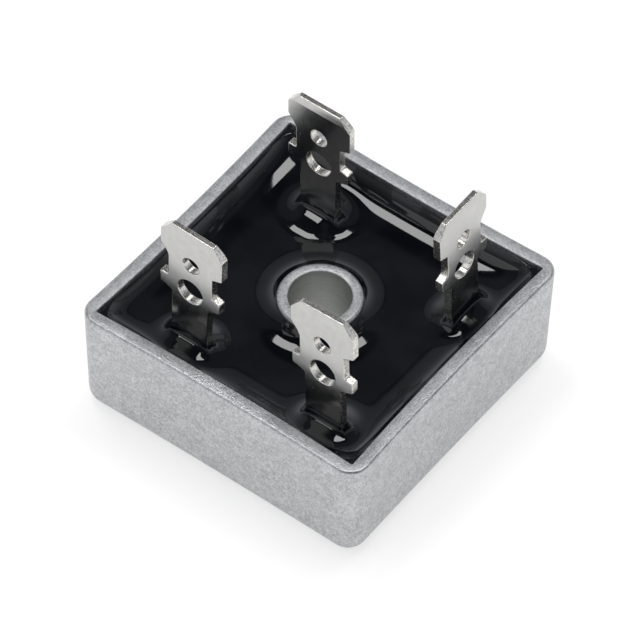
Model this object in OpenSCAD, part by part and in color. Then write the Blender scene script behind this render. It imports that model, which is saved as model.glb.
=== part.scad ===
// Single-phase bridge rectifier in a square metal case with four push-on tabs.
// Millimetres, +Z up. The origin is the middle of the flat base, on the bolt hole's axis.
// +X runs from the minus corner to the front AC corner, +Y from there to the plus corner.

/* [Case] */
// Side of the square case, measured over its corners at the rim
case_side = 28.5; // [28:0.1:34]
// Height from the base to the rim
case_height = 11.1; // [9.5:0.1:13]
// Thickness of the side walls at the corners
wall = 1.22; // [0.9:0.01:1.6]
// Thickness of the floor
floor_t = 2; // [1.5:0.1:2.4]
// How much narrower the foot is than the rim, on each side
draft = 0.23; // [0:0.01:0.4]
// Radius of the upright outer corners
corner_r = 1.8; // [1.75:0.05:3]
// Radius between the side walls and the base
base_r = 1.7; // [0.8:0.05:1.7]
// Radius of the rim's outer edge
rim_r = 0.3; // [0.1:0.05:0.5]
// How far the outer walls dish inwards at mid-side, at the rim
bow_rim = 0.22; // [0:0.01:0.4]
// How far the outer walls dish inwards at mid-side, at the base
bow_base = 0.08; // [0:0.01:0.2]
// How far the cavity's walls dish inwards at mid-side
bow_cavity = 0.3; // [0:0.01:0.4]

/* [Bolt tube] */
// Diameter of the bolt hole
bolt_d = 5.3; // [4.8:0.05:5.8]
// Height of the tube's top above the base
tube_height = 10.3; // [10.1:0.05:10.8]
// Diameter of the tube at its top
tube_d = 7.25; // [7:0.05:8]
// How much thicker the tube is at the floor, in diameter
tube_taper = 0.5; // [0:0.05:1]
// Radius of the tube's outer top edge
tube_edge_r = 0.35; // [0.1:0.05:0.5]
// Radius of the hole's top edge
bore_edge_r = 0.12; // [0.05:0.01:0.2]

/* [Terminals] */
// Height of the tab tops above the base
terminal_top = 22.6; // [21.5:0.1:25]
// Width of the push-on blade
blade_w = 6.3; // [6.2:0.05:6.5]
// Sheet thickness
blade_t = 0.75; // [0.7:0.01:0.85]
// Height of the wide head of the blade
head_h = 3.45; // [3.2:0.05:4]
// Width of the bevelled top corners
corner_cut_w = 1; // [0.6:0.05:1.3]
// Height of the bevelled top corners
corner_cut_h = 1.1; // [0.6:0.05:1.4]
// Height of the thinned lead-in along the top edge
lead_in_h = 0.75; // [0.4:0.05:0.9]
// Depth of the lead-in on each face
lead_in_d = 0.13; // [0.05:0.01:0.2]
// Width of the shank between the head and the stop ears
shank_w = 4.5; // [4.2:0.05:4.8]
// Distance from the blade's top to the stop ears
ear_top = 6.4; // [6.1:0.05:7]
// Height of the stop ears
ear_h = 1.15; // [0.8:0.05:1.4]
// Width over both stop ears
ear_w = 6.2; // [5.6:0.05:6.3]
// Width of the neck that goes down into the potting
neck_w = 3.7; // [3.2:0.05:4.1]
// Diameter of the small detent hole
detent_d = 1.66; // [1.4:0.02:1.9]
// Distance from the blade's top to the detent hole
detent_z = 3.71; // [3.4:0.01:3.9]
// Diameter of the wire hole
wire_hole_d = 2.5; // [2.1:0.05:2.7]
// Distance from the blade's top to the wire hole
wire_hole_z = 6.92; // [6.7:0.01:7.3]
// Inside radius of the bend from neck to foot
bend_r = 0.6; // [0.4:0.05:0.9]

/* [Terminal places] */
// From the case's left side to the middle of the minus terminal's neck
minus_from_left = 8.28; // [7.8:0.01:8.8]
// From the case's front side to the middle of the minus terminal's sheet
minus_from_front = 4.8; // [4.4:0.01:5.2]
// From the case's right side to the middle of the front AC terminal's neck
ac_front_from_right = 6.25; // [5.8:0.01:6.8]
// From the case's front side to the middle of the front AC terminal's sheet
ac_front_from_front = 4.55; // [4.4:0.01:5.2]
// From the case's left side to the middle of the rear AC terminal's neck
ac_rear_from_left = 8.25; // [7.8:0.01:8.8]
// From the case's rear side to the middle of the rear AC terminal's sheet
ac_rear_from_rear = 6.22; // [5.8:0.01:6.6]
// From the case's right side to the middle of the plus terminal's sheet
plus_from_right = 4.49; // [4.2:0.01:4.8]
// From the case's rear side to the middle of the plus terminal's neck
plus_from_rear = 7.87; // [7.4:0.01:8.4]
// Twist of the minus, front AC, rear AC and plus blades about the upright, in degrees
twist = [-0.7, -0.8, 0, 0]; // [-2:0.1:2]
// Sideways lean of the same blades, in degrees
lean = [1.2, -2.8, 0, 2.2]; // [-4:0.1:4]
// Tilt of the same blades towards their faces, in degrees
tilt = [0, -0.8, 1, 1.7]; // [-3:0.1:3]

/* [Circuit] */
// Thickness of the insulating sheet on the floor
sheet_t = 0.3; // [0.2:0.05:0.4]
// Gap between the insulating sheet and the cavity walls or the tube
sheet_gap = 0.4; // [0.2:0.05:0.8]
// Side of each rectifier die
die_side = 3.2; // [2.6:0.1:3.4]
// Thickness of each die
die_t = 0.3; // [0.2:0.02:0.4]
// Thickness of each solder layer
solder_t = 0.1; // [0.06:0.02:0.2]
// Width of the feet's arms
arm_w = 3.6; // [3.4:0.1:3.8]
// From the case's front or rear side to the middle of the arm along it
arm_from_front = 7.55; // [7.45:0.05:7.6]
// From the case's left or right side to the middle of the arm along it
arm_from_side = 4.7; // [4.5:0.05:4.8]
// Gap left round a bend where it is cut free of the arms
relief = 0.3; // [0.2:0.05:0.5]

/* [Potting] */
// Height of the potting's level surface above the base
potting_level = 9.15; // [8.8:0.05:9.4]
// Climb of the potting up the cavity walls
wall_climb = 1.45; // [0.5:0.05:1.5]
// Width over which the wall climb fades
wall_fade = 1.3; // [0.8:0.05:2]
// Climb of the potting up the bolt tube
tube_climb = 0.65; // [0.2:0.05:0.8]
// Width over which the tube climb fades
tube_fade = 0.7; // [0.4:0.05:1.5]
// Climb of the potting up the terminal necks
neck_climb = 1; // [0.4:0.05:1.1]
// Width over which the neck climb fades
neck_fade = 0.95; // [0.6:0.05:1.5]

/* [Hidden] */
$fn = 64;
eps = 0.01;
half = case_side / 2;
cavity_half = half - wall;
side_steps = 10;         // facets along each outer side
corner_steps = 8;        // facets round each outer corner
round_steps = 8;         // rings up the base radius
rim_steps = 4;           // rings over the rim radius
grid_steps = 46;         // cells of the potting's surface, each way
wall_crowding = 0.4;     // share of the cells' spacing that crowds towards the walls
root_z = potting_level - 0.1;            // height about which the blades lean
sheet_top = floor_t + sheet_t;
lower_z = sheet_top;                     // underside of the plus and minus feet
die_z = lower_z + blade_t + solder_t;    // underside of the dice
upper_z = die_z + die_t + solder_t;      // underside of the AC feet
arm_x = half - arm_from_side;            // middle of the arms along the left and right sides
arm_y = half - arm_from_front;           // middle of the arms along the front and rear sides
arm_end = die_side / 2 + 0.3;            // how far each arm runs past a die's middle
tube_foot_d = tube_d + tube_taper;
bend_reach = blade_t + bend_r;           // from a neck's outer face to where its foot is flat

// The four places: middle of the neck, turn of the neck about Z, corner signs, foot height,
// turn of the blade about Z, and the blade's twist, lean and tilt.
// A neck turned by 0 bends its foot towards +Y, by 180 towards -Y and by 90 towards -X.
MINUS = [[minus_from_left - half, minus_from_front - half], 0, [-1, -1], lower_z, 0, 0];
AC_FRONT = [[half - ac_front_from_right, ac_front_from_front - half], 0, [1, -1], upper_z, 0, 1];
AC_REAR = [[ac_rear_from_left - half, half - ac_rear_from_rear], 180, [-1, 1], upper_z, 0, 2];
PLUS = [[half - plus_from_right, half - plus_from_rear], 90, [1, 1], lower_z, -90, 3];
PLACES = [MINUS, AC_FRONT, AC_REAR, PLUS];

// The four dice: middle of each, at mid-side where a lower and an upper arm cross over.
DICE = [[0, -arm_y], [arm_x, 0], [0, arm_y], [-arm_x, 0]];

// ---- case ----

function turned(p, a) = [p[0] * cos(a) - p[1] * sin(a), p[0] * sin(a) + p[1] * cos(a)];

// One ring of the outer shape: a square with round corners whose sides dish inwards.
function outer_ring(h, r, bow) = [
    for (q = [0:3], p = concat(
        [for (i = [0:side_steps]) let (t = 2 * i / side_steps - 1)
            [t * (h - r), -h + bow * (1 - t * t)]],
        [for (i = [1:corner_steps - 1]) let (a = 90 * i / corner_steps - 90)
            [h - r + r * cos(a), r - h + r * sin(a)]]))
    turned(p, 90 * q)];

// Half width, corner radius and bow of the outer wall at a height.
function wall_half(z) = half - draft * (1 - z / case_height);
function wall_bow(z) = bow_base + (bow_rim - bow_base) * z / case_height;

// Rings from the base, up the walls and over the rim: [z, inset from the wall].
ring_levels = concat(
    [for (i = [0:round_steps]) let (a = 90 * i / round_steps)
        [base_r * (1 - cos(a)), base_r * (1 - sin(a))]],
    [[case_height / 2, 0]],
    [for (i = [0:rim_steps]) let (a = 90 * i / rim_steps)
        [case_height - rim_r * (1 - sin(a)), rim_r * (1 - cos(a))]]);

// A closed solid skinned over rings that all have the same number of points.
module skin(rings) {
    n = len(rings[0]);
    last = (len(rings) - 1) * n;
    polyhedron(
        points = [for (ring = rings, p = ring) p],
        faces = concat(
            [[for (i = [0:n - 1]) i]],
            [for (k = [0:len(rings) - 2], i = [0:n - 1]) let (j = (i + 1) % n)
                [k * n + i, (k + 1) * n + i, (k + 1) * n + j]],
            [for (k = [0:len(rings) - 2], i = [0:n - 1]) let (j = (i + 1) % n)
                [k * n + i, (k + 1) * n + j, k * n + j]],
            [[for (i = [n - 1:-1:0]) last + i]]));
}

module case_block() {
    skin([for (level = ring_levels)
        [for (p = outer_ring(wall_half(level[0]) - level[1], corner_r - level[1],
                             wall_bow(level[0])))
            [p[0], p[1], level[0]]]]);
}

// The cavity's grid lines crowd a little towards the walls, where the potting climbs.
function grid_u(i) = let (s = 2 * i / grid_steps - 1)
    (1 - wall_crowding) * s + wall_crowding * sin(90 * s);
function cavity_point(u, v) = [u * (cavity_half - bow_cavity * (1 - v * v)),
                               v * (cavity_half - bow_cavity * (1 - u * u))];
cavity_outline = [for (q = [0:3], i = [0:grid_steps - 1])
    turned(cavity_point(grid_u(i), -1), 90 * q)];

module cavity(z0, z1) {
    translate([0, 0, z0])
        linear_extrude(z1 - z0)
            polygon(cavity_outline);
}

// The bolt tube's outside, from half-way down the floor to its rounded top edge.
module tube_body() {
    top_r = tube_d / 2;
    rotate_extrude()
        polygon(concat(
            [[0, floor_t / 2], [tube_foot_d / 2, floor_t / 2], [tube_foot_d / 2, floor_t]],
            [for (i = [0:6]) let (a = 90 * i / 6)
                [top_r + tube_edge_r * (cos(a) - 1), tube_height + tube_edge_r * (sin(a) - 1)]],
            [[0, tube_height]]));
}

// The bolt hole with the small radius at its top edge.
module bolt_hole() {
    translate([0, 0, -1])
        cylinder(h = tube_height + 2, d = bolt_d);
    rotate_extrude()
        polygon(concat(
            [[0, tube_height + eps], [bolt_d / 2 + bore_edge_r, tube_height + eps]],
            [for (i = [0:4]) let (a = 90 * i / 4)
                [bolt_d / 2 + bore_edge_r * (1 - sin(a)), tube_height + bore_edge_r * (cos(a) - 1)]],
            [[0, tube_height - bore_edge_r]]));
}

module case() {
    color("silver")
        difference() {
            union() {
                difference() {
                    case_block();
                    cavity(floor_t, case_height + 1);
                }
                tube_body();
            }
            bolt_hole();
        }
}

// ---- terminals ----

// The blade above the potting, flat in X and Y with its top edge on y = 0.
module blade_outline() {
    hw = blade_w / 2;
    sw = shank_w / 2;
    ew = ear_w / 2;
    nw = neck_w / 2;
    difference() {
        polygon([
            [-hw + corner_cut_w, 0], [hw - corner_cut_w, 0], [hw, -corner_cut_h],
            [hw, -head_h], [sw - 0.05, -head_h - 0.4],          // square-cornered notch
            [sw - 0.05, -ear_top + 0.1], [ew - 0.1, -ear_top - 0.1],
            [ew - 0.1, -ear_top - ear_h], [nw, -ear_top - ear_h - 0.45],
            [nw, root_z - terminal_top - 0.6], [-nw, root_z - terminal_top - 0.6],
            [-nw, -ear_top - ear_h - 0.45], [-ew, -ear_top - ear_h],
            [-ew, -ear_top], [-sw - 0.05, -ear_top],
            [-sw - 0.05, -head_h - 0.5], [-sw - 0.25, -head_h - 0.05],   // sloping shoulder
            [-hw + 0.15, -head_h + 0.65], [-hw, -head_h + 0.35 + 0.6],
            [-hw, -corner_cut_h]]);
        translate([0, -detent_z])
            circle(d = detent_d);
        translate([0, -wire_hole_z])
            circle(d = wire_hole_d);
    }
}

// The wedges that thin the blade's top edge on both faces.
module lead_ins() {
    for (s = [-1, 1])
        translate([-blade_w / 2, s * blade_t / 2, 0])
            rotate([90, 0, 90])
                linear_extrude(blade_w)
                    polygon([[0, -lead_in_h], [s * 1, -lead_in_h], [s * 1, 1], [-s * lead_in_d, 1],
                             [-s * lead_in_d, 0]]);
}

// The blade upright, its sheet centred on y = 0, bent a little about the potting's surface.
module blade(k) {
    translate([0, 0, root_z])
        rotate([tilt[k], 0, 0])
            rotate([0, lean[k], 0])
                rotate([0, 0, twist[k]])
                    translate([0, 0, terminal_top - root_z])
                        difference() {
                            rotate([90, 0, 0])
                                translate([0, 0, -blade_t / 2])
                                    linear_extrude(blade_t)
                                        blade_outline();
                            lead_ins();
                        }
}

// The buried neck and the bend at its foot, with its sheet centred on y = 0.
module neck(foot_z) {
    bend_z = foot_z + blade_t + bend_r;
    translate([-neck_w / 2, -blade_t / 2, bend_z])
        cube([neck_w, blade_t, root_z - bend_z]);
    translate([-neck_w / 2, bend_reach - blade_t / 2, bend_z])
        rotate([90, 0, 90])
            quarter_bend();
}

// A quarter bend of the sheet, turned from straight down to level.
module quarter_bend() {
    linear_extrude(neck_w)
        intersection() {
            difference() {
                circle(r = bend_reach);
                circle(r = bend_r);
            }
            translate([-2 * bend_reach, -2 * bend_reach])
                square(2 * bend_reach);
        }
}

// The foot's two arms run from their corner to the middles of the two sides beside it.
module foot_outline(place) {
    at = place[0];
    turn = place[1];
    flat = bend_reach - blade_t / 2;
    difference() {
        union() {
            to_corner(place[2]) {
                translate([-arm_end, arm_y - arm_w / 2])
                    square([arm_x + arm_w / 2 + arm_end, arm_w]);
                translate([arm_x - arm_w / 2, -arm_end])
                    square([arm_w, arm_y + arm_w / 2 + arm_end]);
                translate([arm_x - arm_w, arm_y - arm_w])
                    square(arm_w);
            }
            translate(at)
                rotate(turn)
                    translate([-neck_w / 2, flat])
                        square([neck_w, 1]);
        }
        translate(at)
            rotate(turn)
                translate([-neck_w / 2 - relief, flat - 10])
                    square([neck_w + 2 * relief, 10]);
    }
}

// Mirrors a shape drawn for the +X +Y corner into the corner with the given signs.
module to_corner(corner) {
    mirror([corner[0] < 0 ? 1 : 0, 0])
        mirror([0, corner[1] < 0 ? 1 : 0])
            children();
}

module terminal(place) {
    color("gainsboro")
        union() {
            translate(place[0])
                rotate(place[1])
                    neck(place[3]);
            translate(place[0])
                rotate(place[4])
                    blade(place[5]);
            translate([0, 0, place[3]])
                linear_extrude(blade_t)
                    foot_outline(place);
        }
}

// ---- circuit ----

module insulating_sheet() {
    color("khaki")
        translate([0, 0, floor_t])
            linear_extrude(sheet_t)
                difference() {
                    square(2 * (cavity_half - bow_cavity - sheet_gap), center = true);
                    circle(d = tube_foot_d + 2 * sheet_gap);
                }
}

module die(k) {
    color("dimgray")
        translate([DICE[k][0] - die_side / 2, DICE[k][1] - die_side / 2, die_z])
            cube([die_side, die_side, die_t]);
}

module solder(k, z) {
    color("lightgray")
        translate([DICE[k][0] - die_side / 2, DICE[k][1] - die_side / 2, z])
            cube([die_side, die_side, solder_t]);
}

module solder_under(k) { solder(k, die_z - solder_t); }
module solder_over(k) { solder(k, die_z + die_t); }

// ---- potting ----

// Distance from a point to a neck's rectangle.
function neck_distance(p, place) = let (
    q = turned([p[0] - place[0][0], p[1] - place[0][1]], -place[1]),
    dx = max(abs(q[0]) - neck_w / 2, 0),
    dy = max(abs(q[1]) - blade_t / 2, 0))
    norm([dx, dy]);

// Height of the potting's surface: level, with a climb at the walls, the tube and each neck.
function fades(d, width) = exp(-d / width);
function wall_term(p) =
    fades(cavity_half - p[0], wall_fade) + fades(cavity_half + p[0], wall_fade)
    + fades(cavity_half - p[1], wall_fade) + fades(cavity_half + p[1], wall_fade);
function tube_term(p) = fades(max(norm(p) - tube_d / 2, 0), tube_fade);
function neck_term(p) = max([for (place = PLACES) fades(neck_distance(p, place), neck_fade)]);
function potting_z(p) = potting_level + wall_climb * min(wall_term(p), 1.1)
    + tube_climb * tube_term(p) + neck_climb * neck_term(p);

module potting_block() {
    n = grid_steps + 1;
    rim = len(cavity_outline);
    top = [for (j = [0:grid_steps], i = [0:grid_steps])
        let (p = cavity_point(grid_u(i), grid_u(j))) [p[0], p[1], potting_z(p)]];
    bottom = [for (p = cavity_outline) [p[0], p[1], floor_t]];
    edge = concat([for (i = [0:grid_steps - 1]) i],
                  [for (j = [0:grid_steps - 1]) j * n + grid_steps],
                  [for (i = [grid_steps:-1:1]) grid_steps * n + i],
                  [for (j = [grid_steps:-1:1]) j * n]);
    polyhedron(
        points = concat(top, bottom),
        faces = concat(
            [for (j = [0:grid_steps - 1], i = [0:grid_steps - 1]) let (a = j * n + i)
                [a, a + n, a + n + 1]],
            [for (j = [0:grid_steps - 1], i = [0:grid_steps - 1]) let (a = j * n + i)
                [a, a + n + 1, a + 1]],
            [for (k = [0:rim - 1]) let (m = (k + 1) % rim)
                [n * n + k, edge[k], edge[m]]],
            [for (k = [0:rim - 1]) let (m = (k + 1) % rim)
                [n * n + k, edge[m], n * n + m]],
            [[for (k = [0:rim - 1]) n * n + k]]));
}

module potting() {
    color([0.08, 0.09, 0.11])
        difference() {
            potting_block();
            tube_body();
            for (place = PLACES)
                terminal(place);
            insulating_sheet();
            for (k = [0:3])
                translate([DICE[k][0] - die_side / 2, DICE[k][1] - die_side / 2, die_z - solder_t])
                    cube([die_side, die_side, die_t + 2 * solder_t]);
        }
}

case();
potting();
terminal(PLUS);  // terminal_plus
terminal(MINUS);  // terminal_minus
terminal(AC_FRONT);  // terminal_ac_front
terminal(AC_REAR);  // terminal_ac_rear
insulating_sheet();
die(0);  // die_front
die(1);  // die_right
die(2);  // die_rear
die(3);  // die_left
solder_under(0);  // solder_under_die_front
solder_under(1);  // solder_under_die_right
solder_under(2);  // solder_under_die_rear
solder_under(3);  // solder_under_die_left
solder_over(0);  // solder_over_die_front
solder_over(1);  // solder_over_die_right
solder_over(2);  // solder_over_die_rear
solder_over(3);  // solder_over_die_left
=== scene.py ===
import math
import bmesh
import bpy
import numpy as np
from mathutils import Matrix, Vector


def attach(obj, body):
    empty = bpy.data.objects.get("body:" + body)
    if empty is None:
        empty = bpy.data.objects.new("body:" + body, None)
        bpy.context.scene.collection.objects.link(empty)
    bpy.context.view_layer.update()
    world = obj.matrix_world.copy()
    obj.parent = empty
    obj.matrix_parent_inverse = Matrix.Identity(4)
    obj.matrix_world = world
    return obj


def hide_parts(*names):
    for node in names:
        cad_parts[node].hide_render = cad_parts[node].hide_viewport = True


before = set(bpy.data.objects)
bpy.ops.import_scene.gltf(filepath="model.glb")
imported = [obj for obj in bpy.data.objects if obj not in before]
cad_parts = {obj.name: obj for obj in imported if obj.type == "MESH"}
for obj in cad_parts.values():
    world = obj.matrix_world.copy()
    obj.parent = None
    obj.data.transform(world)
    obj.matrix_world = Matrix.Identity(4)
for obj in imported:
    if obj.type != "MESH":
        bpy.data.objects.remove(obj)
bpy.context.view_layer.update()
mm = 0.001
print("frame loaded:", len(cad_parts), "nodes")


# ---- shader helpers

class Wire:
    # one output socket that can stand in sums

    def __init__(self, shader, socket):
        self.shader = shader
        self.socket = socket

    def math(self, operation, *others):
        return self.shader.add("ShaderNodeMath", {"operation": operation}, dict(enumerate([self, *others])))

    def __add__(self, other):
        return self.math("ADD", other)

    def __mul__(self, other):
        return self.math("MULTIPLY", other)

    def __sub__(self, other):
        return self.math("SUBTRACT", other)

    def __rsub__(self, other):
        return self * -1 + other

    def __truediv__(self, other):
        return self.math("DIVIDE", other)

    def __pow__(self, other):
        return self.math("POWER", other)

    __radd__ = __add__
    __rmul__ = __mul__

    def step(self, low, high):
        # 0 below low and 1 above high, smooth in between
        settings = {"interpolation_type": "SMOOTHSTEP"}
        return self.shader.add("ShaderNodeMapRange", settings, {"Value": self, "From Min": low, "From Max": high})


class Shader:
    # the nodes of one material or of the world

    def __init__(self, tree):
        self.tree = tree
        tree.nodes.clear()

    def add(self, kind, settings=None, values=None, out=0):
        node = self.tree.nodes.new(kind)
        for key, value in (settings or {}).items():
            if key == "stops":
                self.setStops(node.color_ramp, value)
            else:
                setattr(node, key, value)
        for key, value in (values or {}).items():
            socket = node.inputs[key]
            if isinstance(value, Wire):
                self.tree.links.new(value.socket, socket)
            elif isinstance(value, (tuple, list)) and len(value) < len(socket.default_value):
                socket.default_value = (*value, 1)
            else:
                socket.default_value = value
        return Wire(self, node.outputs[out]) if node.outputs else None

    def setStops(self, ramp, stops):
        while len(ramp.elements) > 1:
            ramp.elements.remove(ramp.elements[-1])
        ramp.elements[0].position = stops[0][0]
        ramp.elements[0].color = (*stops[0][1], 1)
        for place, colour in stops[1:]:
            ramp.elements.new(place).color = (*colour, 1)

    def coords(self, stretch=(1, 1, 1)):
        # object coordinates in millimetres
        point = self.add("ShaderNodeTexCoord", out="Object")
        return self.add("ShaderNodeVectorMath", {"operation": "MULTIPLY"}, {0: point, 1: [1000 * s for s in stretch]})

    def noise(self, point, size, detail=2.0, rough=0.5):
        # size of the features in millimetres
        values = {"Vector": point, "Scale": 1 / size, "Detail": detail, "Roughness": rough}
        return self.add("ShaderNodeTexNoise", {}, values)

    def cells(self, point, size, feature="F1"):
        return self.add("ShaderNodeTexVoronoi", {"feature": feature}, {"Vector": point, "Scale": 1 / size})

    def blend(self, mask, a, b):
        return self.add("ShaderNodeMix", {"data_type": "RGBA"}, {0: mask, 6: a, 7: b}, out=2)

    def bump(self, height, depth):
        # height runs over 0..1 and depth is in millimetres
        return self.add("ShaderNodeBump", {}, {"Height": height, "Distance": depth * mm})

    def finish(self, **sockets):
        values = {key.replace("_", " "): value for key, value in sockets.items()}
        surface = self.add("ShaderNodeBsdfPrincipled", {}, values)
        self.add("ShaderNodeOutputMaterial", {}, {"Surface": surface})


def newMaterial(name, colour, metallic, roughness):
    material = bpy.data.materials.new(name)
    material.use_nodes = True
    material.diffuse_color = (*colour, 1)
    material.metallic = metallic
    material.roughness = roughness
    return material, Shader(material.node_tree)


# ---- materials

castAluminium = {
    "pale": (0.665, 0.67, 0.68),
    "dark": (0.385, 0.39, 0.405),
    "grain": 0.15,
    "patches": 1.1,
    "roughness": 0.40,
    "grainDepth": 0.030,
}


def makeCastAluminium():
    look = castAluminium
    material, s = newMaterial("tumbledAluminium", look["pale"], 1, look["roughness"])
    point = s.coords()
    grain = s.noise(point, look["grain"], 2, 0.6)
    coarse = s.noise(point, look["grain"] * 2.6, 2, 0.6)
    patches = s.noise(point, look["patches"], 3, 0.6)
    pits = 1 - s.cells(point, 0.9).step(0.05, 0.14)
    tone = (grain * 0.55 + coarse * 0.25 + patches * 0.2).step(0.36, 0.64)
    colour = s.blend(tone, look["dark"], look["pale"])
    colour = s.blend(pits * 0.3, colour, (0.24, 0.245, 0.26))
    rough = look["roughness"] + (grain - 0.5) * 0.4 + (patches - 0.5) * 0.1
    height = grain * look["grainDepth"] + coarse * look["grainDepth"] * 0.8 - pits * 0.01
    s.finish(Base_Color=colour, Metallic=1.0, Roughness=rough, Normal=s.bump(height, 1))
    return material


machinedAluminium = {"pale": (0.66, 0.67, 0.65), "dark": (0.54, 0.55, 0.53), "roughness": 0.42}


def makeMachinedAluminium():
    # the wall of the bolt hole: fine drawn lines round the axis
    look = machinedAluminium
    material, s = newMaterial("boreAluminium", look["pale"], 1, look["roughness"])
    lines = s.noise(s.coords((0.6, 0.6, 9)), 1.2, 3, 0.6)
    grain = s.noise(s.coords(), 0.16, 2)
    colour = s.blend((lines * 0.6 + grain * 0.4).step(0.3, 0.7), look["dark"], look["pale"])
    rough = look["roughness"] + (grain - 0.5) * 0.2
    s.finish(Base_Color=colour, Metallic=1.0, Roughness=rough, Normal=s.bump(lines * 0.6 + grain * 0.4, 0.012))
    return material


epoxy = {
    "body": (0.0022, 0.0028, 0.0040),
    "haze": (0.0050, 0.0060, 0.0085),
    "roughness": 0.035,
    "ripple": 0.004,
}


def makeEpoxy():
    look = epoxy
    material, s = newMaterial("blackEpoxy", look["body"], 0, look["roughness"])
    point = s.coords()
    slow = s.noise(point, 3.5, 2)
    fine = s.noise(point, 0.5, 3, 0.6)
    dust = 1 - s.cells(point, 1.3).step(0.012, 0.03)
    colour = s.blend(slow.step(0.35, 0.7), look["body"], look["haze"])
    colour = s.blend(dust * 0.5, colour, (0.20, 0.20, 0.20))
    rough = look["roughness"] + slow * 0.02 + dust * 0.3
    height = slow * look["ripple"] + fine * 0.0004
    s.finish(Base_Color=colour, Roughness=rough, Specular_IOR_Level=0.5, Normal=s.bump(height, 1))
    return material


tinPlate = {
    "pale": (0.605, 0.60, 0.58),
    "dark": (0.54, 0.535, 0.52),
    "roughness": 0.19,
    "lineDepth": 0.0008,
}


def makeTinPlate():
    look = tinPlate
    material, s = newMaterial("tinPlate", look["pale"], 1, look["roughness"])
    lines = s.noise(s.coords((1, 1, 0.06)), 0.09, 2, 0.6)
    mottle = s.noise(s.coords(), 0.7, 3, 0.6)
    spots = 1 - s.cells(s.coords(), 0.9).step(0.04, 0.12)
    colour = s.blend((mottle * 0.7 + lines * 0.3).step(0.3, 0.7), look["dark"], look["pale"])
    rough = look["roughness"] + (mottle - 0.5) * 0.12 + spots * 0.1
    height = lines * look["lineDepth"] + s.noise(s.coords(), 0.12, 2) * 0.0012 - spots * 0.001
    s.finish(Base_Color=colour, Metallic=1.0, Roughness=rough, Normal=s.bump(height, 1))
    return material


cutEdge = {"pale": (0.80, 0.785, 0.75), "dark": (0.46, 0.43, 0.38), "roughness": 0.24}


def makeCutEdge():
    # sheared and burnished bands of the stamped edges and hole walls
    look = cutEdge
    material, s = newMaterial("shearedEdge", look["pale"], 1, look["roughness"])
    streaks = s.noise(s.coords((1, 1, 0.5)), 0.12, 3, 0.7)
    mottle = s.noise(s.coords(), 0.35, 2)
    colour = s.blend((streaks * 0.6 + mottle * 0.4).step(0.36, 0.58), look["dark"], look["pale"])
    rough = look["roughness"] + (streaks - 0.5) * 0.3
    s.finish(Base_Color=colour, Metallic=1.0, Roughness=rough, Normal=s.bump(streaks * 0.7 + mottle * 0.3, 0.012))
    return material


hiddenLooks = {
    "insulation": ((0.62, 0.45, 0.18), (0.72, 0.55, 0.26), 0.0, 0.5, 1.5),
    "silicon": ((0.05, 0.052, 0.06), (0.09, 0.092, 0.11), 0.6, 0.2, 0.6),
    "solder": ((0.42, 0.42, 0.43), (0.60, 0.60, 0.61), 1.0, 0.35, 0.3),
}


def makeHidden(name):
    dark, pale, metallic, roughness, size = hiddenLooks[name]
    material, s = newMaterial(name + "Look", pale, metallic, roughness)
    cloud = s.noise(s.coords(), size, 3, 0.6)
    fine = s.noise(s.coords(), size / 6, 2)
    colour = s.blend((cloud * 0.6 + fine * 0.4).step(0.3, 0.7), dark, pale)
    s.finish(Base_Color=colour, Metallic=metallic, Roughness=roughness + (cloud - 0.5) * 0.2,
             Normal=s.bump(fine, 0.01))
    return material


# ---- mesh helpers

def place(name, mesh, materials, slotName, *nodes):
    for material in materials:
        mesh.materials.append(material)
    piece = bpy.data.objects.new(name, mesh)
    bpy.context.scene.collection.objects.link(piece)
    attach(piece, "root")
    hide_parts(*nodes)
    return piece


def skin(name, rings):
    # a closed ring of rings, such as a torus
    count = len(rings[0])
    points = [(x * mm, y * mm, z * mm) for ring in rings for x, y, z in ring]
    faces = []
    for k in range(len(rings)):
        a = k * count
        b = (k + 1) % len(rings) * count
        for i in range(count):
            j = (i + 1) % count
            faces.append((a + i, a + j, b + j, b + i))
    mesh = bpy.data.meshes.new(name)
    mesh.from_pydata(points, [], faces)
    mesh.polygons.foreach_set("use_smooth", [True] * len(faces))
    mesh.set_sharp_from_angle(angle=math.radians(40))
    mesh.update()
    return mesh


def squareRing(half, radius, bow, z, sideSteps, cornerSteps):
    # a square with round corners whose sides dish inwards
    quarter = []
    for i in range(sideSteps + 1):
        t = 2 * i / sideSteps - 1
        quarter.append((t * (half - radius), -half + bow * (1 - t * t)))
    for i in range(1, cornerSteps):
        a = math.pi / 2 * (i / cornerSteps - 1)
        quarter.append((half - radius + radius * math.cos(a), radius - half + radius * math.sin(a)))
    ring = []
    for q in range(4):
        c, s = [(1, 0), (0, 1), (-1, 0), (0, -1)][q]
        ring += [(x * c - y * s, x * s + y * c, z) for x, y in quarter]
    return ring


def roundRing(radius, z, like):
    # a circle whose points lie at the same bearings as those of another ring
    return [(radius * x / math.hypot(x, y), radius * y / math.hypot(x, y), z) for x, y, _ in like]


def between(a, b, t, z=None):
    ring = [tuple(p + (q - p) * t for p, q in zip(u, v)) for u, v in zip(a, b)]
    return ring if z is None else [(x, y, z) for x, y, _ in ring]


# ---- case

case = {
    "side": 28.5,
    "height": 11.1,
    "wall": 1.22,
    "floor": 2.0,
    "draft": 0.23,
    "cornerRadius": 1.8,
    "baseRadius": 1.7,
    "rimRadius": 0.3,
    "innerRimRadius": 0.12,
    "bowRim": 0.22,
    "bowBase": 0.08,
    "bowCavity": 0.3,
    "boltRadius": 2.65,
    "tubeHeight": 10.3,
    "tubeRadius": 3.625,
    "tubeFootRadius": 3.875,
    "tubeEdgeRadius": 0.35,
    "boreEdgeRadius": 0.12,
    "sideSteps": 48,
    "cornerSteps": 14,
}


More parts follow.
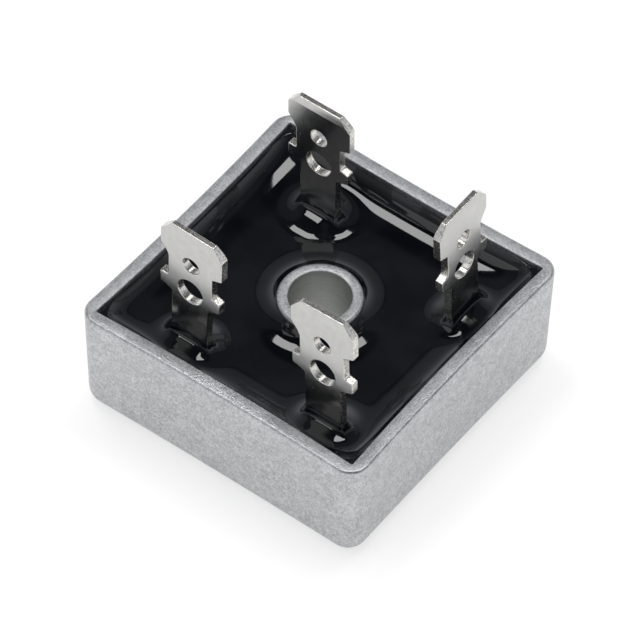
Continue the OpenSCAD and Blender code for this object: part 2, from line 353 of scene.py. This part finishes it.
def outerRing(z, inset):
    share = z / case["height"]
    half = case["side"] / 2 - case["draft"] * (1 - share) - inset
    bow = case["bowBase"] + (case["bowRim"] - case["bowBase"]) * share
    return squareRing(half, case["cornerRadius"] - inset, bow, z, case["sideSteps"], case["cornerSteps"])


def cavityRing(z, grow=0.0):
    half = case["side"] / 2 - case["wall"] + grow
    return squareRing(half, 0.12 + grow, case["bowCavity"], z, case["sideSteps"], case["cornerSteps"])


def buildCase():
    c = case
    height, base, rim = c["height"], c["baseRadius"], c["rimRadius"]
    foot = outerRing(0, base)
    rings = [roundRing(c["boltRadius"] + 0.12, 0, foot)]
    rings += [between(rings[0], foot, t) for t in (0.15, 0.35, 0.6, 0.85, 1)]
    for i in range(1, 13):
        a = math.pi / 2 * i / 12
        rings.append(outerRing(base * (1 - math.cos(a)), base * (1 - math.sin(a))))
    rings += [outerRing(base + (height - rim - base) * i / 10, 0) for i in range(1, 11)]
    for i in range(1, 7):
        a = math.pi / 2 * i / 6
        rings.append(outerRing(height - rim * (1 - math.sin(a)), rim * (1 - math.cos(a))))
    edge = c["innerRimRadius"]
    for i in range(0, 5):
        a = math.pi / 2 * i / 4
        rings.append(cavityRing(height - edge * (1 - math.cos(a)), edge * (1 - math.sin(a))))
    rings += [cavityRing(height - edge + (c["floor"] - height + edge) * i / 8) for i in range(1, 9)]
    floorRing = rings[-1]
    tubeFoot = roundRing(c["tubeFootRadius"], c["floor"], foot)
    rings += [between(floorRing, tubeFoot, t) for t in (0.3, 0.6, 0.85, 1)]
    top, edge = c["tubeHeight"], c["tubeEdgeRadius"]
    rings += [roundRing(c["tubeFootRadius"] + (c["tubeRadius"] - c["tubeFootRadius"]) * i / 6,
                        c["floor"] + (top - edge - c["floor"]) * i / 6, foot) for i in range(1, 7)]
    for i in range(1, 7):
        a = math.pi / 2 * i / 6
        rings.append(roundRing(c["tubeRadius"] + edge * (math.cos(a) - 1), top + edge * (math.sin(a) - 1), foot))
    small = c["boreEdgeRadius"]
    for i in range(0, 5):
        a = math.pi / 2 * i / 4
        rings.append(roundRing(c["boltRadius"] + small * (1 - math.sin(a)), top + small * (math.cos(a) - 1), foot))
    boreStart = len(rings) - 1
    rings += [roundRing(c["boltRadius"], (top - small) * (1 - i / 12) + 0.12 * i / 12, foot) for i in range(1, 13)]
    mesh = skin("case", rings)
    count = len(foot)
    for polygon in mesh.polygons:
        polygon.material_index = 1 if polygon.index // count >= boreStart else 0
    return mesh


# ---- terminals

blade = {
    "width": 6.3,
    "thick": 0.75,
    "top": 22.6,
    "headHeight": 3.45,
    "cornerWidth": 1.0,
    "cornerHeight": 1.1,
    "leadHeight": 0.75,
    "leadDepth": 0.13,
    "shankWidth": 4.5,
    "earTop": 6.4,
    "earHeight": 1.15,
    "earWidth": 6.2,
    "neckWidth": 3.7,
    "detentRadius": 0.83,
    "detentDown": 3.71,
    "wireRadius": 1.25,
    "wireDown": 6.92,
    "edgeRadius": 0.075,
    "rootHeight": 9.05,
    "tail": 0.6,
}

feet = {
    "armWidth": 3.6,
    "armX": 9.55,
    "armY": 6.7,
    "armEnd": 1.9,
    "bendReach": 1.35,
    "relief": 0.3,
    "low": 2.3,
    "high": 3.55,
}

# middle of the neck, turn of the neck, corner, foot height, turn of the blade, twist, lean, tilt
terminals = {
    "terminal_minus": ((-5.97, -9.45), 0, (-1, -1), "low", 0, -0.7, 1.2, 0),
    "terminal_ac_front": ((8.0, -9.7), 0, (1, -1), "high", 0, -0.8, -2.8, -0.8),
    "terminal_ac_rear": ((-6.0, 8.03), 180, (-1, 1), "high", 0, 0, 0, 1),
    "terminal_plus": ((9.76, 6.38), 90, (1, 1), "low", -90, 0, 2.2, 1.7),
}


def bladeOutline():
    # corner points with the radius of each, from the top left, clockwise
    b = blade
    hw, sw, ew, nw = b["width"] / 2, b["shankWidth"] / 2, b["earWidth"] / 2, b["neckWidth"] / 2
    head, ear, earEnd = b["headHeight"], b["earTop"], b["earTop"] + b["earHeight"]
    bottom = b["rootHeight"] - b["top"] - b["tail"]
    return [
        (-hw + b["cornerWidth"], 0, 0.25),
        (hw - b["cornerWidth"], 0, 0.25),
        (hw, -b["cornerHeight"], 0.3),
        (hw, -head, 0.12),
        (sw - 0.05, -head - 0.4, 0.2),
        (sw - 0.05, -ear + 0.1, 0.25),
        (ew - 0.1, -ear - 0.1, 0.1),
        (ew - 0.1, -earEnd, 0.12),
        (nw, -earEnd - 0.45, 0.3),
        (nw, bottom, 0),
        (-nw, bottom, 0),
        (-nw, -earEnd - 0.45, 0.3),
        (-ew, -earEnd, 0.12),
        (-ew, -ear, 0.1),
        (-sw - 0.05, -ear, 0.25),
        (-sw - 0.05, -head - 0.5, 0.35),
        (-sw - 0.25, -head - 0.05, 0.35),
        (-hw, -head + 0.85, 0.5),
        (-hw, -b["cornerHeight"], 0.3),
    ]


def rounded(corners, steps=5):
    # replaces each corner by an arc of its radius
    points = []
    count = len(corners)
    for i, (x, y, radius) in enumerate(corners):
        here = Vector((x, y))
        before = (Vector(corners[i - 1][:2]) - here)
        after = (Vector(corners[(i + 1) % count][:2]) - here)
        if radius == 0:
            points.append((x, y))
            continue
        angle = before.angle(after)
        reach = min(radius / math.tan(angle / 2), 0.48 * before.length, 0.48 * after.length)
        start = here + before.normalized() * reach
        end = here + after.normalized() * reach
        for k in range(steps + 1):
            t = k / steps
            point = start * (1 - t) ** 2 + here * 2 * t * (1 - t) + end * t * t
            points.append((point.x, point.y))
    return points


def circlePoints(radius, y, steps=48):
    return [(radius * math.cos(2 * math.pi * i / steps), y + radius * math.sin(2 * math.pi * i / steps))
            for i in range(steps)]


def bladeMesh():
    # stamped sheet with rolled edges, upright, its top edge at z = 0
    b = blade
    curve = bpy.data.curves.new("bladeCurve", "CURVE")
    curve.dimensions = "2D"
    curve.fill_mode = "BOTH"
    for points in (rounded(bladeOutline()), circlePoints(b["detentRadius"], -b["detentDown"]),
                   circlePoints(b["wireRadius"], -b["wireDown"])):
        spline = curve.splines.new("POLY")
        spline.points.add(len(points) - 1)
        for point, (x, y) in zip(spline.points, points):
            point.co = (x, y, 0, 1)
        spline.use_cyclic_u = True
    curve.extrude = b["thick"] / 2 - b["edgeRadius"]
    curve.bevel_depth = b["edgeRadius"]
    curve.bevel_resolution = 3
    curve.offset = -b["edgeRadius"]
    drawn = bpy.data.objects.new("bladeCurve", curve)
    bpy.context.scene.collection.objects.link(drawn)
    evaluated = drawn.evaluated_get(bpy.context.evaluated_depsgraph_get())
    mesh = bpy.data.meshes.new_from_object(evaluated)
    bpy.data.objects.remove(drawn)
    bm = bmesh.new()
    bm.from_mesh(mesh)
    bmesh.ops.remove_doubles(bm, verts=bm.verts, dist=0.0005)
    for level in (-b["leadHeight"], -b["edgeRadius"] * 1.6):
        everything = list(bm.verts) + list(bm.edges) + list(bm.faces)
        bmesh.ops.bisect_plane(bm, geom=everything, plane_co=(0, level, 0), plane_no=(0, 1, 0), dist=0.001)
    for vert in bm.verts:
        depth = min(max(1 + vert.co.y / b["leadHeight"], 0), 1)
        vert.co.z *= 1 - depth * b["leadDepth"] / (b["thick"] / 2)
    bm.transform(Matrix.Rotation(math.pi / 2, 4, "X"))
    bmesh.ops.recalc_face_normals(bm, faces=bm.faces)
    bm.normal_update()
    for face in bm.faces:
        face.material_index = 1 if abs(face.normal.y) < 0.6 else 0
        face.smooth = True
    return bm


def addBox(bm, low, high, turn):
    made = bmesh.ops.create_cube(bm, size=1)["verts"]
    size = Vector(high) - Vector(low)
    middle = (Vector(high) + Vector(low)) / 2
    bmesh.ops.scale(bm, vec=size, verts=made)
    bmesh.ops.translate(bm, vec=middle, verts=made)
    bmesh.ops.transform(bm, matrix=turn, verts=made)


def buildTerminal(name):
    (x, y), neckTurn, corner, level, bladeTurn, twist, lean, tilt = terminals[name]
    b, f = blade, feet
    bm = bladeMesh()
    rootHeight = b["rootHeight"]
    turns = Matrix.Translation((x, y, rootHeight))
    turns = turns @ Matrix.Rotation(math.radians(bladeTurn), 4, "Z")
    turns = turns @ Matrix.Rotation(math.radians(tilt), 4, "X")
    turns = turns @ Matrix.Rotation(math.radians(lean), 4, "Y")
    turns = turns @ Matrix.Rotation(math.radians(twist), 4, "Z")
    bm.transform(turns @ Matrix.Translation((0, 0, b["top"] - rootHeight)))
    # the buried neck and the foot's arms
    low = f[level]
    upright = Matrix.Translation((x, y, 0)) @ Matrix.Rotation(math.radians(neckTurn), 4, "Z")
    half, thick = b["neckWidth"] / 2, b["thick"]
    addBox(bm, (-half, -thick / 2, low), (half, thick / 2, rootHeight), upright)
    addBox(bm, (-half, thick / 2, low), (half, f["bendReach"], low + thick), upright)
    flip = Matrix.Diagonal((corner[0], corner[1], 1, 1))
    wide, ax, ay = f["armWidth"] / 2, f["armX"], f["armY"]
    inner = abs(y) - f["bendReach"] if neckTurn != 90 else ay + wide
    outer = abs(x) - f["bendReach"] if neckTurn == 90 else ax + wide
    addBox(bm, (-f["armEnd"], ay - wide, low), (ax + wide - 0.1, min(ay + wide, inner), low + thick), flip)
    addBox(bm, (ax - wide, -f["armEnd"], low), (outer, ay - wide, low + thick), flip)
    bm.transform(Matrix.Scale(mm, 4))
    mesh = bpy.data.meshes.new(name)
    bm.to_mesh(mesh)
    bm.free()
    mesh.set_sharp_from_angle(angle=math.radians(8))
    return mesh


# ---- potting

potting = {
    "level": 8.75,
    "wallClimb": (0.9, 0.9),      # a wide gentle rise and a narrow steep one
    "wallFade": (2.4, 0.6),
    "tubeClimb": 1.1,
    "tubeFade": 1.2,
    "moundHeight": 0.8,
    "moundReach": 2.2,
    "moundBar": 0.4,
    "neckClimb": 0.6,
    "neckFade": 0.15,
    "sideSteps": 110,
    "cornerSteps": 4,
    "rings": 150,
}


def climb(distance, height, width):
    return height * np.exp(-np.maximum(distance, 0) / width)


def pottingHeight(x, y):
    # level, with a rise at the walls and the bolt tube and a mound round each neck
    p = potting
    half = case["side"] / 2 - case["wall"]
    bow = case["bowCavity"]
    sides = [half - bow * (1 - (y / half) ** 2) - x, half - bow * (1 - (y / half) ** 2) + x,
             half - bow * (1 - (x / half) ** 2) - y, half - bow * (1 - (x / half) ** 2) + y]
    wall = sum(climb(side, height, width) for side in sides
               for height, width in zip(p["wallClimb"], p["wallFade"]))
    wall = np.minimum(wall, 1.1 * sum(p["wallClimb"]))
    tube = climb(np.hypot(x, y) - case["tubeRadius"], p["tubeClimb"], p["tubeFade"])
    necks = np.zeros_like(x)
    for (cx, cy), turn, *_ in terminals.values():
        dx, dy = x - cx, y - cy
        if turn == 90:
            dx, dy = dy, dx
        bar = np.hypot(np.maximum(np.abs(dx) - p["moundBar"], 0), dy)
        dx = np.maximum(np.abs(dx) - blade["neckWidth"] / 2, 0)
        dy = np.maximum(np.abs(dy) - blade["thick"] / 2, 0)
        neck = p["moundHeight"] * np.exp(-(bar / p["moundReach"]) ** 3)
        necks = np.maximum(necks, neck + climb(np.hypot(dx, dy), p["neckClimb"], p["neckFade"]))
    return p["level"] + wall + tube + necks


def buildPotting():
    p = potting
    half = case["side"] / 2 - case["wall"]
    outer = squareRing(half + 0.02, 0.05, case["bowCavity"], 0, p["sideSteps"], p["cornerSteps"])
    inner = roundRing(case["tubeRadius"] - 0.1, 0, outer)
    a, b = np.array(inner)[:, :2], np.array(outer)[:, :2]
    rings = []
    for k in range(p["rings"] + 1):
        t = k / p["rings"]
        t = 0.45 * t + 0.55 * (1 - math.cos(math.pi * t)) / 2     # crowds at the tube and the walls
        flat = a + (b - a) * t
        z = pottingHeight(flat[:, 0], flat[:, 1])
        rings.append(np.column_stack([flat, z]).tolist())
    floor = case["floor"] + 0.02
    rings.append([(x, y, floor) for x, y, _ in rings[-1]])
    rings.append([(x, y, floor) for x, y, _ in rings[0]])
    return skin("potting", rings)


# ---- pieces

aluminium, bore = makeCastAluminium(), makeMachinedAluminium()
place("case_shell", buildCase(), [aluminium, bore], "case_aluminium", "case")
print("case built")
place("potting_surface", buildPotting(), [makeEpoxy()], "epoxy", "potting")
print("potting built")
tin, edge = makeTinPlate(), makeCutEdge()
for name in terminals:
    place(name + "_tab", buildTerminal(name), [tin, edge], "tinned_brass", name)
print("terminals built")
hidden = {name: makeHidden(name) for name in hiddenLooks}
for name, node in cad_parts.items():
    kind = {"die": "silicon", "sol": "solder", "ins": "insulation"}.get(name[:3])
    if kind:
        node.data.materials.clear()
        node.data.materials.append(hidden[kind])
print("inner pieces dressed")


# ---- studio

studio = {
    "floor": (0.55, 0.55, 0.55),
    "floorGlow": 0.4,
    "floorSize": 3.0,
    "diffuse": 0.75,
    "camera": {"azimuth": 36.041, "elevation": 50.066, "roll": 1.368, "distance": 0.521423,
               "right": 0.000143, "up": 0.004615, "lens": 353.04},
    # bearing from straight ahead of the camera, elevation, distance, width, height, radiance
    "lamps": [(42, 70, 1.0, 0.26, 0.26, 8.0), (-42, 70, 1.0, 0.26, 0.26, 8.0),
              (108, 50, 1.0, 0.5, 0.5, 1.0)],
    # elevation in degrees and brightness, as the bright surfaces see them
    "bands": [(-90, 0.9), (0, 0.95), (15, 0.75), (28, 0.38), (40, 0.27), (41.5, 0.05), (43, 0.13), (55, 0.12),
              (57, 0.03), (58.5, 0.015), (80, 0.01), (86, 0.1), (90, 0.1)],
}


def makeWorld():
    world = bpy.data.worlds.new("studio")
    bpy.context.scene.world = world
    world.use_nodes = True
    s = Shader(world.node_tree)
    direction = s.add("ShaderNodeTexCoord", out="Generated")
    split = s.add("ShaderNodeSeparateXYZ", {}, {0: direction}, out="Z")
    height = split * 0.5 + 0.5
    stops = [((math.sin(math.radians(e)) + 1) / 2, (b * 0.95, b * 0.98, b * 1.03)) for e, b in studio["bands"]]
    bands = s.add("ShaderNodeValToRGB", {"stops": stops}, {0: height})
    isCamera = s.add("ShaderNodeLightPath", out="Is Camera Ray")
    isGlossy = s.add("ShaderNodeLightPath", out="Is Glossy Ray")
    level = studio["diffuse"]
    colour = s.blend(isGlossy, (level, level, level), bands)
    colour = s.blend(isCamera, colour, (1, 1, 1))
    sky = s.add("ShaderNodeBackground", {}, {"Color": colour, "Strength": 1.0})
    s.add("ShaderNodeOutputWorld", {}, {"Surface": sky})


def makeFloor():
    material, s = newMaterial("paperFloor", studio["floor"], 0, 0.9)
    grain = s.noise(s.coords(), 2.0, 2)
    tone = s.blend(grain, [c - 0.01 for c in studio["floor"]], studio["floor"])
    matte = s.add("ShaderNodeBsdfDiffuse", {}, {"Color": tone})
    lit = s.add("ShaderNodeEmission", {}, {"Color": (1, 1, 1), "Strength": studio["floorGlow"]})
    plain = s.add("ShaderNodeAddShader", {}, {0: matte, 1: lit})
    half = s.add("ShaderNodeBsdfDiffuse", {}, {"Color": (0.5, 0.5, 0.5)})
    glow = s.add("ShaderNodeEmission", {}, {"Color": (1, 1, 1), "Strength": 0.55})
    seen = s.add("ShaderNodeAddShader", {}, {0: half, 1: glow})
    isCamera = s.add("ShaderNodeLightPath", out="Is Camera Ray")
    both = s.add("ShaderNodeMixShader", {}, {0: isCamera, 1: plain, 2: seen})
    s.add("ShaderNodeOutputMaterial", {}, {"Surface": both})
    size = studio["floorSize"]
    mesh = bpy.data.meshes.new("floor")
    corners = [(-size, -size), (size, -size), (size, size), (-size, size)]
    mesh.from_pydata([(x, y, -0.00002) for x, y in corners], [], [(0, 1, 2, 3)])
    mesh.materials.append(material)
    floor = bpy.data.objects.new("floor", mesh)
    bpy.context.scene.collection.objects.link(floor)


def heading(azimuth, elevation):
    # unit vector towards a viewer at that azimuth and elevation
    a, e = math.radians(azimuth), math.radians(elevation)
    return Vector((math.sin(a) * math.cos(e), -math.cos(a) * math.cos(e), math.sin(e)))


def makeCamera():
    c = studio["camera"]
    back = heading(c["azimuth"], c["elevation"])
    level = heading(c["azimuth"] + 90, 0)
    upright = back.cross(level)
    roll = math.radians(c["roll"])
    right = level * math.cos(roll) + upright * math.sin(roll)
    up = upright * math.cos(roll) - level * math.sin(roll)
    camera = bpy.data.objects.new("camera", bpy.data.cameras.new("camera"))
    spot = right * c["right"] + up * c["up"] + back * c["distance"]
    camera.matrix_world = Matrix.Translation(spot) @ Matrix((right, up, back)).transposed().to_4x4()
    camera.data.sensor_width = 36
    camera.data.lens = c["lens"]
    bpy.context.scene.collection.objects.link(camera)
    bpy.context.scene.camera = camera


def makeLamps():
    ahead = studio["camera"]["azimuth"] + 180
    for k, (bearing, elevation, distance, width, height, radiance) in enumerate(studio["lamps"]):
        away = heading(ahead + bearing, elevation)
        data = bpy.data.lights.new(f"softbox{k}", "AREA")
        data.shape = "RECTANGLE"
        data.size = width
        data.size_y = height
        data.energy = radiance * math.pi * width * height
        lamp = bpy.data.objects.new(f"softbox{k}", data)
        lamp.location = away * distance
        lamp.rotation_euler = away.to_track_quat("Z", "Y").to_euler()
        bpy.context.scene.collection.objects.link(lamp)


makeWorld()
makeFloor()
makeCamera()
makeLamps()
bpy.context.scene.view_settings.view_transform = "Standard"
print("studio built")
